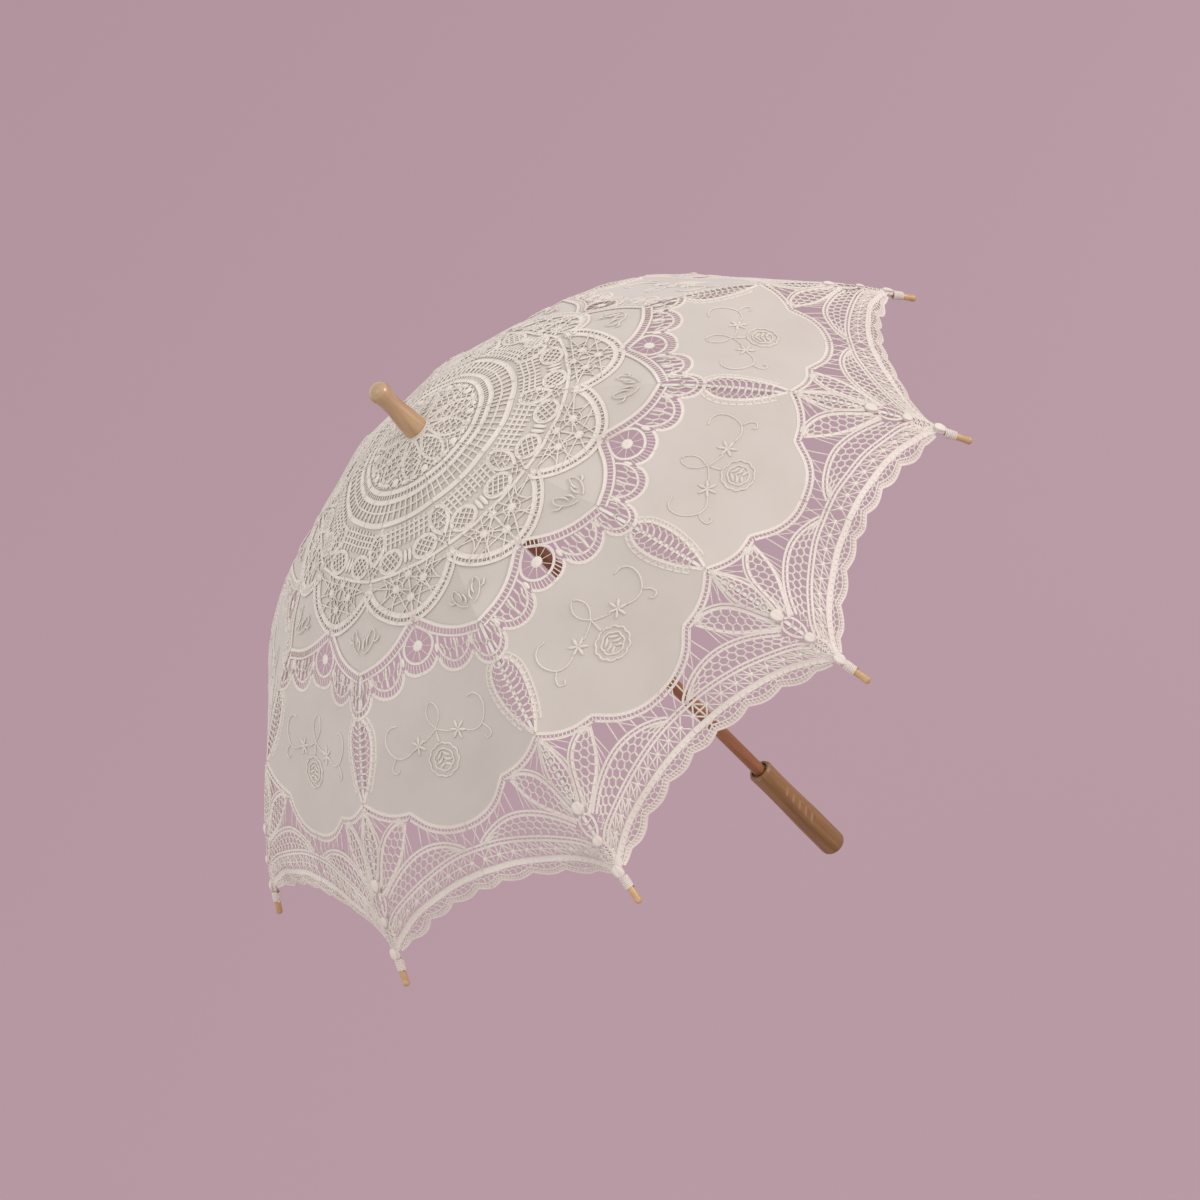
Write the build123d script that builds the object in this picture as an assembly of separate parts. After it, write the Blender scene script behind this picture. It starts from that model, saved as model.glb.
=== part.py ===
from build123d import *
from math import acos, asin, atan2, cos, degrees, hypot, radians, sin, tan
import os

# Lace parasol, open. Millimetres. +Z runs up the shaft from the handle to the ferrule,
# and the origin is the middle of the straight, round stretch of the handle's grip.

# ---- driving dimensions -------------------------------------------------------------
# overall
RIB_COUNT = 10
CANOPY_RADIUS = 380.0  # shaft axis to the end of a rib tip
EXPOSED_SHAFT = 477.0  # handle top to the canopy's apex
# handle, ferrule and shaft
HANDLE_LENGTH = 123.0
GRIP_LENGTH = 40.0  # straight stretch of the handle
GRIP_RADIUS = 12.1
HANDLE_TOP_RADIUS = 11.5
HANDLE_WAIST_RADIUS = 11.2
HANDLE_END_ROUND = 8.0
HANDLE_SOCKET = 40.0
HANDLE_CUP_DEPTH = 2.5
HANDLE_CUP_WALL = 2.2
GROOVE_COUNT = 5
GROOVE_PITCH = 9.8
GROOVE_START = 32.0  # handle top to the first groove
GROOVE_RADIUS = 2.6
GROOVE_DEPTH = 0.8
GROOVE_TILT = 30.0
GROOVE_AZIMUTH = 26.0  # from -Y towards +X
FERRULE_LENGTH = 53.0
FERRULE_BASE_RADIUS = 10.8
FERRULE_NECK_RADIUS = 8.4
FERRULE_BULB_RADIUS = 9.3
FERRULE_SOCKET = 36.0
SHAFT_RADIUS = 5.9
# canopy
CANOPY_THICKNESS = 1.0
APEX_SLOPE = 5.0  # degrees, where the canopy's line over a rib meets the shaft axis
RIM_SLOPE = 57.9  # degrees, where that line, if it went on, would reach CANOPY_RADIUS
CORNER_TO_TIP_END = 17.0  # wooden tip that shows past the lace corner
HEM_RISE = 25.0  # how far the hem rises from its corners at the middle of a gore
CENTRE_DISC_RADIUS = 11.1
# ribs, tips and stretchers
RIB_WIDTH = 2.6
RIB_HEIGHT = 3.2
RIB_WALL = 0.6
EYE_THICKNESS = 1.6
RIB_EYE_RADIUS = 1.7
RIB_EYE_LENGTH = 9.0
RIB_PIN_RADIUS = 1.2
RIB_PIN_LENGTH = 12.0
TIP_LENGTH = 25.0
TIP_RADIUS = 2.75
TIP_WAIST_RADIUS = 2.2
STRETCHER_LENGTH = 165.0
STRETCHER_WIDTH = 2.2
STRETCHER_HEIGHT = 3.0
FORK_LENGTH = 14.0
FORK_SLOT_LENGTH = 10.0
FORK_CHEEK = 0.8
RIVET_RADIUS = 1.0
RIVET_HEAD_RADIUS = 1.6
RIVET_HEAD_HEIGHT = 0.5
# crown and runner
HINGE_CIRCLE_RADIUS = 11.0
FLANGE_RADIUS = 13.2
HUB_RADIUS = 8.0
CROWN_HUB_LENGTH = 18.0
RUNNER_FLANGE_HEIGHT = 7.0
RUNNER_LENGTH = 45.0
WIRE_RADIUS = 0.6
CROWN_PIN_RADIUS = 0.9
STOP_PIN_RADIUS = 1.0
STOP_PIN_LENGTH = 15.0
# catch springs
SPRING_THICKNESS = 1.4
SPRING_LENGTH = 30.0
SPRING_LEG = 1.4
NOSE_HEIGHT = 12.0
NOSE_REACH = 3.0  # past the shaft's surface
# fold
CLOSED_TIP_RADIUS = 15.0  # shaft axis to the middle of a tip's end, closed
# clearances
SOFT_GAP = 0.3  # between cloth and what it lies on
RIB_GAP = 0.8  # between cloth and the middle of a rib's top, as the cloth slopes off to both sides
SIDE_GAP = 0.25  # flat faces that slide past each other
PIN_GAP = 0.06  # round a hinge pin or ring
BORE_GAP = 0.1  # runner on the shaft
SEAM_GAP = 0.4  # between neighbouring parts of the canopy

# ---- derived places -----------------------------------------------------------------
STEP_ANGLE = 360.0 / RIB_COUNT
HALF_STEP = STEP_ANGLE / 2
NARROWING = cos(radians(HALF_STEP))  # gore middle over rib, in radius
HANDLE_BOTTOM = -GRIP_LENGTH / 2 - HANDLE_END_ROUND
HANDLE_TOP = HANDLE_BOTTOM + HANDLE_LENGTH
APEX = HANDLE_TOP + EXPOSED_SHAFT
CANOPY_ARC_RADIUS = CANOPY_RADIUS / (sin(radians(RIM_SLOPE)) - sin(radians(APEX_SLOPE)))
ARC_X = -CANOPY_ARC_RADIUS * sin(radians(APEX_SLOPE))
ARC_Z = APEX - CANOPY_ARC_RADIUS * cos(radians(APEX_SLOPE))
RIB_ARC = CANOPY_ARC_RADIUS - CANOPY_THICKNESS - RIB_GAP - RIB_HEIGHT / 2


def on_arc(radius, slope):
    """Point (x, z) at this radius from the rib arc's centre, where the arc slopes so many degrees."""
    return ARC_X + radius * sin(radians(slope)), ARC_Z + radius * cos(radians(slope))


def slope_at(radius, x):
    """Slope, in degrees, where an arc of this radius is x from the shaft axis."""
    return degrees(asin((x - ARC_X) / radius))


HINGE_SLOPE = slope_at(RIB_ARC, HINGE_CIRCLE_RADIUS)
HINGE_Z = on_arc(RIB_ARC, HINGE_SLOPE)[1]
TIP_START_SLOPE = slope_at(RIB_ARC, CANOPY_RADIUS)
for _ in range(20):
    run = TIP_LENGTH * cos(radians(TIP_START_SLOPE))
    TIP_START_SLOPE = slope_at(RIB_ARC, CANOPY_RADIUS - run)
TIP_START = on_arc(RIB_ARC, TIP_START_SLOPE)
TIP_END = (
    TIP_START[0] + TIP_LENGTH * cos(radians(TIP_START_SLOPE)),
    TIP_START[1] - TIP_LENGTH * sin(radians(TIP_START_SLOPE)),
)
CORNER_SLOPE = TIP_START_SLOPE + degrees((TIP_LENGTH - CORNER_TO_TIP_END) / CANOPY_ARC_RADIUS)
JOINT_SLOPE = HINGE_SLOPE + degrees(2 * asin(STRETCHER_LENGTH / 2 / RIB_ARC))
JOINT = on_arc(RIB_ARC, JOINT_SLOPE)
JOINT_DROP = asin((HINGE_Z - JOINT[1]) / STRETCHER_LENGTH)
RUNNER_Z = HINGE_Z - 2 * STRETCHER_LENGTH * sin(JOINT_DROP)
REACH = hypot(TIP_END[0] - HINGE_CIRCLE_RADIUS, TIP_END[1] - HINGE_Z)
OPEN_DROP = degrees(atan2(HINGE_Z - TIP_END[1], TIP_END[0] - HINGE_CIRCLE_RADIUS))
CLOSED_DROP = degrees(acos((CLOSED_TIP_RADIUS - HINGE_CIRCLE_RADIUS) / REACH))
FOLD_ANGLE = CLOSED_DROP - OPEN_DROP
RUNNER_CLOSED_Z = HINGE_Z - 2 * STRETCHER_LENGTH * sin(JOINT_DROP + radians(FOLD_ANGLE))
RUNNER_TOP = RUNNER_FLANGE_HEIGHT / 2  # above the runner's hinge circle
FLANGE_TOP = APEX - CANOPY_THICKNESS - SOFT_GAP - 1.5
FLANGE_BOTTOM = HINGE_Z - (FLANGE_TOP - HINGE_Z) - 2.0
BIG = 3 * CANOPY_RADIUS


# ---- helpers ------------------------------------------------------------------------
def turned(points, smooth=()):
    """Solid of revolution about Z from (radius, z) points; the named spans are smooth curves."""
    edges = []
    last = 0
    for first, end in smooth:
        edges += [Line(points[i], points[i + 1]) for i in range(last, first)]
        edges.append(Spline(points[first : end + 1]))
        last = end
    edges += [Line(points[i], points[i + 1]) for i in range(last, len(points) - 1)]
    edges.append(Line(points[-1], points[0]))
    profile = Plane.XZ * make_face(Wire(edges))
    return revolve(profile, Axis.Z)


def strip(inner, outer, start, end, width):
    """Curved bar of this width across the XZ plane, between two radii of the rib arc and two slopes."""
    middle = (start + end) / 2
    a, b, c = (on_arc(outer, s) for s in (start, middle, end))
    d, e, f = (on_arc(inner, s) for s in (end, middle, start))
    edges = [ThreePointArc(a, b, c), Line(c, d), ThreePointArc(d, e, f), Line(f, a)]
    return extrude(Plane.XZ * make_face(Wire(edges)), width / 2, both=True)


def across(x, z, radius, length):
    """Cylinder across the XZ plane, with its middle at (x, z)."""
    return Pos(x, 0, z) * Rot(90, 0, 0) * Cylinder(radius, length)


def on_tip(shape):
    """The shape, made along +Z with -X upwards, laid along a tip from where the tip starts."""
    return Pos(TIP_START[0], 0, TIP_START[1]) * Rot(0, 90 + TIP_START_SLOPE, 0) * shape


def rib_pin():
    return on_tip(Pos(0, 0, RIB_PIN_LENGTH / 2) * Cylinder(RIB_PIN_RADIUS, RIB_PIN_LENGTH))


def at_rib(number, shape):
    """The shape, made in the XZ plane, turned to the rib of this number, which counts from 0."""
    return Rot(0, 0, number * STEP_ANGLE) * shape


def hinge_slots(z, height):
    """The radial slots that hold the eyes of all ribs or all stretchers, round one height."""
    inner = HINGE_CIRCLE_RADIUS - RIB_EYE_RADIUS - SIDE_GAP
    depth = FLANGE_RADIUS + 1 - inner
    width = EYE_THICKNESS + 2 * SIDE_GAP
    slot = Pos(inner + depth / 2, 0, z) * Box(depth, width, height)
    return [at_rib(n, slot) for n in range(RIB_COUNT)]


def hinge_ring(z, radius=WIRE_RADIUS):
    return Pos(0, 0, z) * Torus(HINGE_CIRCLE_RADIUS, radius)


# ---- shaft, handle and ferrule --------------------------------------------------------
def catch_slots():
    """The lengthwise slots in the shaft for the two catch springs."""
    depth = 2 * SHAFT_RADIUS
    wide = SPRING_THICKNESS + 2 * SIDE_GAP
    back = -SHAFT_RADIUS + 1.0
    return [
        Pos(back + depth / 2, 0, low + SPRING_LENGTH / 2) * Box(depth, wide, SPRING_LENGTH + 2 * SIDE_GAP)
        for low in (TOP_SPRING_LOW, BOTTOM_SPRING_LOW)
    ]


TOP_SPRING_LOW = RUNNER_Z + RUNNER_TOP - RUNNER_LENGTH - SOFT_GAP - SPRING_LENGTH
BOTTOM_SPRING_LOW = RUNNER_CLOSED_Z + RUNNER_TOP + SOFT_GAP
STOP_PIN_Z = RUNNER_Z + RUNNER_TOP + SIDE_GAP + STOP_PIN_RADIUS
CROWN_PIN_Z = FLANGE_BOTTOM - (CROWN_HUB_LENGTH - (APEX - FLANGE_BOTTOM)) / 2


def shaft():
    low = HANDLE_TOP - HANDLE_SOCKET
    length = APEX + FERRULE_SOCKET - low
    rod = Pos(0, 0, low + length / 2) * Cylinder(SHAFT_RADIUS, length)
    rod -= across(0, STOP_PIN_Z, STOP_PIN_RADIUS, BIG)
    rod -= across(0, CROWN_PIN_Z, CROWN_PIN_RADIUS, BIG)
    for slot in catch_slots():
        rod -= slot
    return rod


def handle():
    cup = SHAFT_RADIUS + HANDLE_CUP_WALL
    bottom = HANDLE_BOTTOM
    grip_top = GRIP_LENGTH / 2
    points = [
        (0, bottom),
        (GRIP_RADIUS * 0.45, bottom + HANDLE_END_ROUND * 0.08),
        (GRIP_RADIUS * 0.85, bottom + HANDLE_END_ROUND * 0.4),
        (GRIP_RADIUS, bottom + HANDLE_END_ROUND),
        (GRIP_RADIUS, grip_top),
        (HANDLE_WAIST_RADIUS + (GRIP_RADIUS - HANDLE_WAIST_RADIUS) * 0.45, grip_top + 18),
        (HANDLE_WAIST_RADIUS, grip_top + 38),
        (HANDLE_TOP_RADIUS, HANDLE_TOP - 2.5),
        (HANDLE_TOP_RADIUS - 1.5, HANDLE_TOP),
        (cup, HANDLE_TOP),
        (cup, HANDLE_TOP - HANDLE_CUP_DEPTH),
        (SHAFT_RADIUS, HANDLE_TOP - HANDLE_CUP_DEPTH),
        (SHAFT_RADIUS, HANDLE_TOP - HANDLE_SOCKET),
        (0, HANDLE_TOP - HANDLE_SOCKET),
    ]
    body = turned(points, smooth=((0, 3), (4, 7)))
    for n in range(GROOVE_COUNT):
        z = HANDLE_TOP - GROOVE_START - n * GROOVE_PITCH
        reach = HANDLE_WAIST_RADIUS + GROOVE_RADIUS - GROOVE_DEPTH
        groove = Pos(0, -reach, z) * Rot(0, 90 - GROOVE_TILT, 0) * Cylinder(GROOVE_RADIUS, 30)
        body -= Rot(0, 0, GROOVE_AZIMUTH) * groove
    return body


def ferrule():
    top = APEX + FERRULE_LENGTH
    points = [
        (0, top),
        (FERRULE_BULB_RADIUS * 0.6, top - 1.3),
        (FERRULE_BULB_RADIUS, top - 7),
        (FERRULE_NECK_RADIUS, top - 15),
        ((FERRULE_NECK_RADIUS + FERRULE_BASE_RADIUS) / 2 - 0.3, APEX + 16),
        (FERRULE_BASE_RADIUS, APEX + 2),
        (FERRULE_BASE_RADIUS - 0.6, APEX),
        (SHAFT_RADIUS, APEX),
        (SHAFT_RADIUS, APEX + FERRULE_SOCKET),
        (0, APEX + FERRULE_SOCKET),
    ]
    return turned(points, smooth=((0, 5),))


# ---- crown, runner and their wires ----------------------------------------------------
def crown():
    hub = APEX - CANOPY_THICKNESS
    points = [
        (SHAFT_RADIUS, hub),
        (HUB_RADIUS, hub),
        (HUB_RADIUS, FLANGE_TOP),
        (FLANGE_RADIUS, FLANGE_TOP),
        (FLANGE_RADIUS, FLANGE_BOTTOM),
        (HUB_RADIUS, FLANGE_BOTTOM),
        (HUB_RADIUS, APEX - CROWN_HUB_LENGTH),
        (SHAFT_RADIUS, APEX - CROWN_HUB_LENGTH),
    ]
    body = turned(points)
    for slot in hinge_slots(HINGE_Z, 30):
        body -= slot
    body -= hinge_ring(HINGE_Z)
    return body - across(0, CROWN_PIN_Z, CROWN_PIN_RADIUS, BIG)


def runner():
    top = RUNNER_Z + RUNNER_TOP
    bore = SHAFT_RADIUS + BORE_GAP
    low = top - RUNNER_LENGTH
    points = [
        (bore, top),
        (FLANGE_RADIUS, top),
        (FLANGE_RADIUS, top - RUNNER_FLANGE_HEIGHT),
        (HUB_RADIUS, top - RUNNER_FLANGE_HEIGHT),
        (HUB_RADIUS, low + 5),
        (HUB_RADIUS + 1.2, low + 3.5),
        (HUB_RADIUS + 1.2, low),
        (bore, low),
    ]
    body = turned(points)
    for slot in hinge_slots(RUNNER_Z, RUNNER_FLANGE_HEIGHT + 2):
        body -= slot
    return body - hinge_ring(RUNNER_Z)


def catch_spring(low, nose_low, flat_side):
    """Flat spring in the shaft's slot. The nose stands past the shaft, and its flat side faces the runner."""
    back = -SHAFT_RADIUS + 1.0 + NOSE_REACH + SIDE_GAP
    out = SHAFT_RADIUS + NOSE_REACH
    front = SHAFT_RADIUS - 1.0
    root, flat = (nose_low, nose_low + NOSE_HEIGHT) if flat_side > 0 else (nose_low + NOSE_HEIGHT, nose_low)
    front_of_leg, high = back + SPRING_LEG, low + SPRING_LENGTH
    leg = [(back, low), (front_of_leg, low), (front_of_leg, high), (back, high)]
    nose = [(back, root), (front, root), (out, flat - flat_side * 3), (out, flat), (back, flat)]
    faces = [Plane.XZ * make_face(Wire(Polyline(*p, close=True).edges())) for p in (leg, nose)]
    bars = [extrude(f, SPRING_THICKNESS / 2, both=True) for f in faces]
    return bars[0] + bars[1]


def round_pin(z, radius, length):
    return across(0, z, radius, length)


# ---- one rib, its tip and its stretcher -----------------------------------------------
def rib():
    half = RIB_HEIGHT / 2
    low, high = RIB_ARC - half, RIB_ARC + half
    channel_start = HINGE_SLOPE + degrees(RIB_EYE_LENGTH / RIB_ARC)
    bar = strip(low, high, channel_start, TIP_START_SLOPE, RIB_WIDTH)
    pin_slope = degrees(RIB_PIN_LENGTH / RIB_ARC)
    hollow_end = TIP_START_SLOPE - pin_slope
    bar -= strip(low - 1, high - RIB_WALL, channel_start + pin_slope, hollow_end, RIB_WIDTH - 2 * RIB_WALL)
    eye_plate = strip(RIB_ARC - RIB_EYE_RADIUS + 0.2, high, HINGE_SLOPE, channel_start + 0.05, EYE_THICKNESS)
    eye_plate -= Pos(HINGE_CIRCLE_RADIUS, 0, HINGE_Z + RIB_EYE_RADIUS) * Box(5, 5, 1.4)
    eye_plate += across(HINGE_CIRCLE_RADIUS, HINGE_Z, RIB_EYE_RADIUS, EYE_THICKNESS)
    whole = bar + eye_plate + rib_pin()
    whole -= across(HINGE_CIRCLE_RADIUS, HINGE_Z, WIRE_RADIUS + PIN_GAP, 10)
    return whole - across(*JOINT, RIVET_RADIUS + PIN_GAP, 10)


def rib_tip():
    """Turned wooden tip, with a waist where the lace corner is tied, on the rib's round pin."""
    points = [
        (0, 0),
        (TIP_WAIST_RADIUS, 0),
        (TIP_WAIST_RADIUS, 5),
        (TIP_RADIUS, 9),
        (TIP_RADIUS, TIP_LENGTH - 5),
        (TIP_RADIUS * 0.85, TIP_LENGTH - 1.2),
        (0, TIP_LENGTH),
    ]
    return on_tip(turned(points, smooth=((1, 3), (4, 6)))) - rib_pin()


def stretcher():
    """Bar with an eye for the runner's wire at x = 0 and a fork for the rib at its far end."""
    eye = across(0, 0, RIB_EYE_RADIUS, EYE_THICKNESS)
    plate = Pos(6, 0, 0) * Box(12, EYE_THICKNESS, STRETCHER_HEIGHT)
    bar_start = 10.0
    bar_end = STRETCHER_LENGTH - FORK_LENGTH + 2
    bar = Pos((bar_start + bar_end) / 2, 0, 0) * Box(bar_end - bar_start, STRETCHER_WIDTH, STRETCHER_HEIGHT)
    slot_width = RIB_WIDTH + 2 * SIDE_GAP
    fork_width = slot_width + 2 * FORK_CHEEK
    fork = Pos(STRETCHER_LENGTH - FORK_LENGTH / 2, 0, 0) * Box(FORK_LENGTH, fork_width, STRETCHER_HEIGHT)
    fork += across(STRETCHER_LENGTH, 0, STRETCHER_HEIGHT / 2, fork_width)
    slot_end = STRETCHER_LENGTH - FORK_SLOT_LENGTH
    fork -= Pos(slot_end + 15, 0, 0) * Box(30, slot_width, 10)
    body = eye + plate + bar + fork
    body -= across(0, 0, WIRE_RADIUS + PIN_GAP, 10)
    body -= across(STRETCHER_LENGTH, 0, RIVET_RADIUS, 20)
    pin = across(STRETCHER_LENGTH, 0, RIVET_RADIUS, fork_width)
    for side in (-1, 1):
        head_y = side * (fork_width + RIVET_HEAD_HEIGHT) / 2
        pin += Pos(0, head_y, 0) * across(STRETCHER_LENGTH, 0, RIVET_HEAD_RADIUS, RIVET_HEAD_HEIGHT)
    lie = Pos(HINGE_CIRCLE_RADIUS, 0, RUNNER_Z) * Rot(0, -degrees(JOINT_DROP), 0)
    return Compound([lie * body.solid(), lie * pin.solid()])


# ---- canopy -----------------------------------------------------------------------------
def canopy_shell():
    """The curved cloth of one gore, straight across from rib to rib, before its edges are cut."""
    rings = []
    for radius in (CANOPY_ARC_RADIUS, CANOPY_ARC_RADIUS - CANOPY_THICKNESS):
        rings.append(Pos(ARC_X * NARROWING, ARC_Z) * Ellipse(radius * NARROWING, radius))
    return extrude(Plane.XZ * (rings[0] - rings[1]), CANOPY_RADIUS / 2, both=True)


def hem_cutter():
    """What lies beyond the hem of one gore: past an arc from corner to corner."""
    corner_x, corner_z = on_arc(CANOPY_ARC_RADIUS, CORNER_SLOPE)
    slope = CORNER_SLOPE - degrees(HEM_RISE / CANOPY_ARC_RADIUS)
    x, z = on_arc(CANOPY_ARC_RADIUS, slope)
    middle = Vector(x * NARROWING, 0, z)
    half_width = corner_x * sin(radians(HALF_STEP))
    corner = Vector(corner_x * NARROWING, 0, corner_z)
    down = (corner - middle).normalized()
    drop = (corner - middle).length
    frame = Plane(origin=middle, x_dir=(0, 1, 0), z_dir=down.cross(Vector(0, 1, 0)))
    sign = 1 if frame.to_local_coords(corner).Y > 0 else -1
    far = sign * (drop + 150)
    low = sign * drop
    wide = half_width + 80
    edges = [
        ThreePointArc((-half_width, low), (0, 0), (half_width, low)),
        Line((half_width, low), (wide, low)),
        Line((wide, low), (wide, far)),
        Line((wide, far), (-wide, far)),
        Line((-wide, far), (-wide, low)),
        Line((-wide, low), (-half_width, low)),
    ]
    return extrude(frame * make_face(Wire(edges)), 80, both=True)


def half_gore(shell, cutter, side):
    """The half of a gore on one side of its rib, in the rib's own frame."""
    low = on_arc(CANOPY_ARC_RADIUS, CORNER_SLOPE)[1] - 40
    spread = radians(HALF_STEP)
    edge = -side * SEAM_GAP / 2
    start = SEAM_GAP / 2 / tan(spread)
    base = Polyline((start, edge), (BIG, -side * BIG * tan(spread)), (BIG, edge), close=True)
    wedge = Pos(0, 0, low) * extrude(make_face(Wire(base.edges())), APEX + 20 - low, dir=(0, 0, 1))
    piece = (shell & wedge) - cutter
    return Rot(0, 0, side * HALF_STEP) * piece


def canopy_sector(shell, cutter):
    """The cloth from the middle of one gore to the middle of the next, round the rib that carries it."""
    low = TIP_RADIUS + SOFT_GAP
    height = low + TIP_RADIUS + CANOPY_THICKNESS
    notch = on_tip(Pos(low - height / 2, 0, TIP_LENGTH - SOFT_GAP) * Box(height, 2 * low, 2 * TIP_LENGTH))
    halves = [half_gore(shell, cutter, side) - notch for side in (1, -1)]
    hole = Pos(0, 0, APEX) * Cylinder(CENTRE_DISC_RADIUS + SEAM_GAP, 40)
    return halves[0] + halves[1] - hole


def canopy_centre():
    disc = Cylinder(CENTRE_DISC_RADIUS, CANOPY_THICKNESS) - Cylinder(SHAFT_RADIUS, CANOPY_THICKNESS)
    return Pos(0, 0, APEX - CANOPY_THICKNESS / 2) * disc


# ---- whole parasol ------------------------------------------------------------------------
def save(name, shape):
    export_step(Compound(shape.solids()), f"parts/{name}.step")


os.makedirs("parts", exist_ok=True)
save("shaft", shaft())
save("handle", handle())
save("ferrule", ferrule())
save("crown", crown())
save("crown_wire", hinge_ring(HINGE_Z))
save("crown_pin", round_pin(CROWN_PIN_Z, CROWN_PIN_RADIUS, 2 * HUB_RADIUS))
save("runner", runner())
save("runner_wire", hinge_ring(RUNNER_Z))
save("stop_pin", round_pin(STOP_PIN_Z, STOP_PIN_RADIUS, STOP_PIN_LENGTH))
save("top_spring", catch_spring(TOP_SPRING_LOW, TOP_SPRING_LOW + SPRING_LENGTH - NOSE_HEIGHT, 1))
save("bottom_spring", catch_spring(BOTTOM_SPRING_LOW, BOTTOM_SPRING_LOW, -1))
save("canopy_centre", canopy_centre())

one_of_each = {
    "rib": rib(),
    "rib_tip": rib_tip(),
    "stretcher": stretcher(),
    "canopy_gore": canopy_sector(canopy_shell(), hem_cutter()),
}
for number in range(RIB_COUNT):
    for name, shape in one_of_each.items():
        save(f"{name}_{number + 1}", at_rib(number, shape))

print(f"apex {APEX:.3f}  tip end {TIP_END[0]:.3f} {TIP_END[1]:.3f}")
print(f"rib hinge {HINGE_CIRCLE_RADIUS:.3f} {HINGE_Z:.4f}  joint {JOINT[0]:.4f} {JOINT[1]:.4f}")
print(f"runner hinge {RUNNER_Z:.4f}, closed {RUNNER_CLOSED_Z:.3f}  fold {FOLD_ANGLE:.3f} degrees")
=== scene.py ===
import math

import bpy
import numpy as np
from mathutils import Matrix, Vector


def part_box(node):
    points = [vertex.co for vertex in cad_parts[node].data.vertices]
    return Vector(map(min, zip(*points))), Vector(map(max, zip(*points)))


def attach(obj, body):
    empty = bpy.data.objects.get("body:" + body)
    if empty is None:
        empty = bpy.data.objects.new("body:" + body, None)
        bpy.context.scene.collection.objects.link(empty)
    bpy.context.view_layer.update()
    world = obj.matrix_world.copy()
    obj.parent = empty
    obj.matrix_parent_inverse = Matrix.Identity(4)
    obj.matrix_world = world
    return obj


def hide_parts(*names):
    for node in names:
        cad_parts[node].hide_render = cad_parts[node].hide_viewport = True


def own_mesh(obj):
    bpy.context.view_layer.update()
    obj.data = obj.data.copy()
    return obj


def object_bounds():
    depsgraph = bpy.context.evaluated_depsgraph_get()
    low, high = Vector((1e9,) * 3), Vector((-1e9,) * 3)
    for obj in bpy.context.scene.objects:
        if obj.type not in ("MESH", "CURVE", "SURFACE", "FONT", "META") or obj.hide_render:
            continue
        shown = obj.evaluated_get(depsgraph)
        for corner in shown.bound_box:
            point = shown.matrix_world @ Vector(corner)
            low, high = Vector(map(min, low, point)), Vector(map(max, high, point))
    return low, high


# Lace parasol, open. The pattern of half a gore is drawn flat, in millimetres: y runs across from
# the gore's middle, s along the rib line from the apex, and h up from the canopy's middle surface.
# It is then laid on the canopy twenty times, mirrored for every other half.

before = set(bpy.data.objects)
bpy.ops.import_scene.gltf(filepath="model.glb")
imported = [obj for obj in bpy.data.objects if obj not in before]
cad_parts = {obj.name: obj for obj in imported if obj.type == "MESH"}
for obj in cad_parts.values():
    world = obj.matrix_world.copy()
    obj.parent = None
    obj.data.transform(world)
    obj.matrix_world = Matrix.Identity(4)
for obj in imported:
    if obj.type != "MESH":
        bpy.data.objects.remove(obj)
cad_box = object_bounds()

# ---- sizes ------------------------------------------------------------------------------
RIBS = 10
STEP = 2 * math.pi / RIBS
HALF_STEP = STEP / 2
ARC = 500.0  # radius of the canopy along a rib
APEX_SLOPE = math.radians(5)
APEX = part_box("canopy_centre")[1][2] * 1000
ARC_X = -ARC * math.sin(APEX_SLOPE)
ARC_Z = APEX - ARC * math.cos(APEX_SLOPE)
NARROWING = math.cos(HALF_STEP)
MID_SURFACE = -0.5  # of the canopy, below its outer face
CORNER = 441.0  # s of a lace corner, where it is tied to its tip
THREAD = 0.62  # radius
TAPE = 0.55  # half the thickness of a tape
CLOTH = 0.16  # half the thickness of the plain cloth
CELL = 2.3  # of the cloth's mesh
APART = 0.3  # between a piece on a line of symmetry and its mirror image
LINING = -1.0  # h of the plain cloth under the centre lace
RAISED = 0.42  # h of embroidery on the plain cloth
SAG = 1.6  # the most that the canopy dips between two ribs, apart from its hem
CURL = 0.022  # dip of the hem, per millimetre squared beyond CURL_START
CURL_START = 404.0  # s where the hem starts to bend


def rib_at(s):
    """Distance across from a gore's middle to its rib."""
    slope = APEX_SLOPE + np.asarray(s, float) / ARC
    return math.sin(HALF_STEP) * ARC * (np.sin(slope) - math.sin(APEX_SLOPE))


def by_rib(*points):
    """(y, s) of points given as (distance from the rib, s)."""
    return [(float(rib_at(s)) - d, s) for d, s in points]


# ---- curves in the flat pattern ------------------------------------------------------------
def smooth(points, step=2.2):
    """Smooth curve through the points, sampled about every step."""
    p = np.asarray(points, float)
    q = np.vstack([2 * p[:1] - p[1:2], p, 2 * p[-1:] - p[-2:-1]])
    rows = []
    for a, b, c, d in zip(q, q[1:], q[2:], q[3:]):
        n = max(1, math.ceil(np.linalg.norm(c - b) / step))
        t = np.linspace(0, 1, n, endpoint=False)[:, None]
        bend = (2 * a - 5 * b + 4 * c - d) * t**2 + (3 * b - a - 3 * c + d) * t**3
        rows.append(b + 0.5 * ((c - a) * t + bend))
    return np.vstack(rows + [p[-1:]])


def resample(curve, count):
    """The same curve with so many evenly spaced points."""
    lengths = np.r_[0, np.cumsum(np.linalg.norm(np.diff(curve, axis=0), axis=1))]
    at = np.linspace(0, lengths[-1], count)
    return np.stack([np.interp(at, lengths, curve[:, i]) for i in (0, 1)], 1)


def length_of(curve):
    """Length along a curve."""
    return float(np.linalg.norm(np.diff(curve, axis=0), axis=1).sum())


def sides(curve):
    """Unit normals of a curve, to the left of its way."""
    t = np.gradient(curve, axis=0)
    t /= np.linalg.norm(t, axis=1)[:, None] + 1e-9
    return np.stack([-t[:, 1], t[:, 0]], 1)


def offset(curve, distance):
    """Curve beside this one. A positive distance is to the left of its way."""
    return curve + sides(curve) * np.asarray(distance).reshape(-1, 1)


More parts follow.
